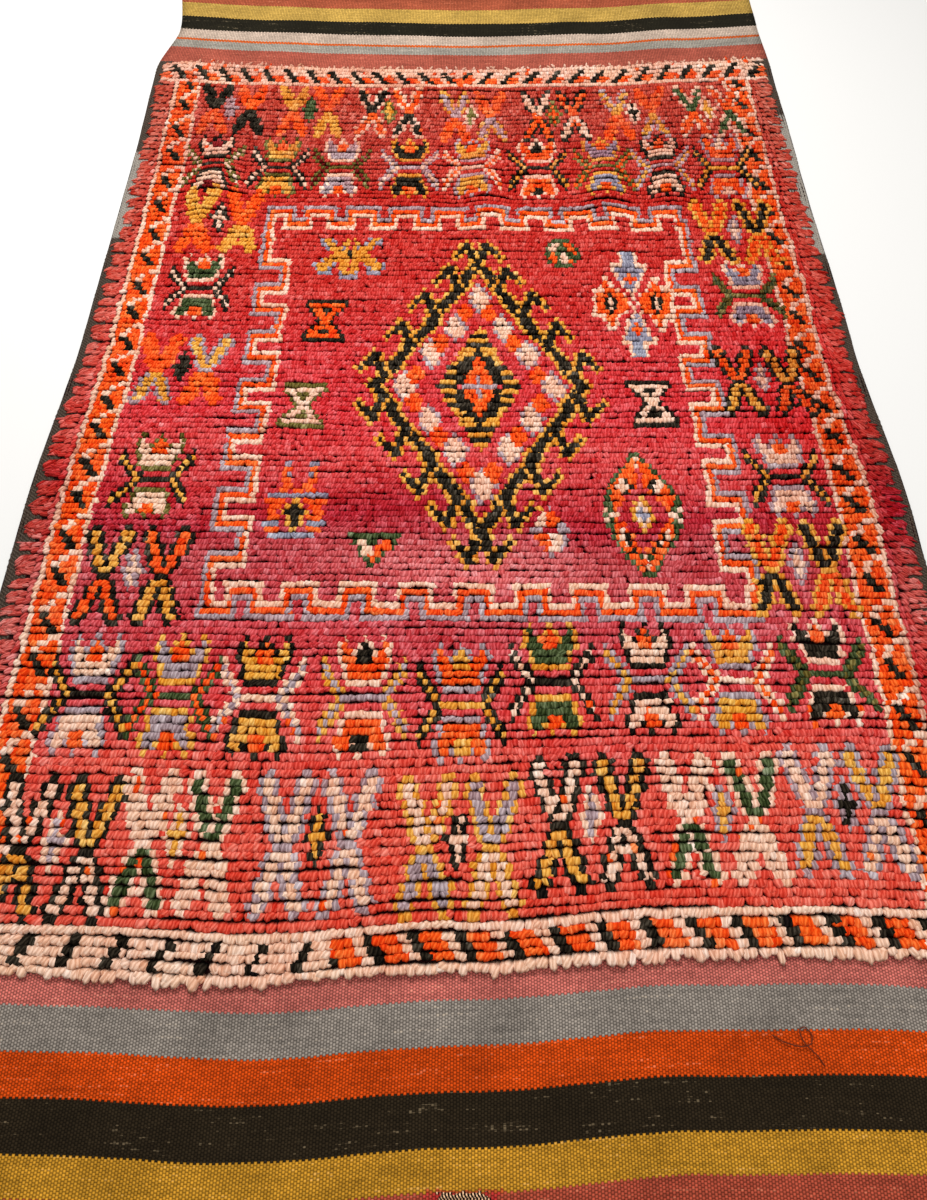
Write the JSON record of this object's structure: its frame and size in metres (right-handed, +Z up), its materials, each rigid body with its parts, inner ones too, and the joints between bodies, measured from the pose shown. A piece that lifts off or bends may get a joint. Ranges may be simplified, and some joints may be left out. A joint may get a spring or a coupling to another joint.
{
  "type": "berber blanket",
  "caption": "Flat hand-knotted wool blanket with shaggy patterned pile, dark selvedges and striped flat-woven ends, lying face up.",
  "frame": {"origin": "under the middle of the blanket, on the surface it lies on", "axes": "+Y along the blanket's length, away from the end that its pile leans towards; +X across its width, to the right seen from that end; +Z up"},
  "size_m": [1.528, 2.6983, 0.0273],
  "materials": {
    "pile_wool": "matte shaggy wool pile, warm red with a many-coloured knotted pattern",
    "flat_weave_wool": "matte weft-faced wool weave in rose, grey-blue, orange, charcoal, cream and yellow stripes",
    "selvedge_goat_hair": "dark brown goat hair, coarse and matte"
  },
  "bodies": {
    "root": {"blanket": "pile_wool"}
  },
  "joints": []
}
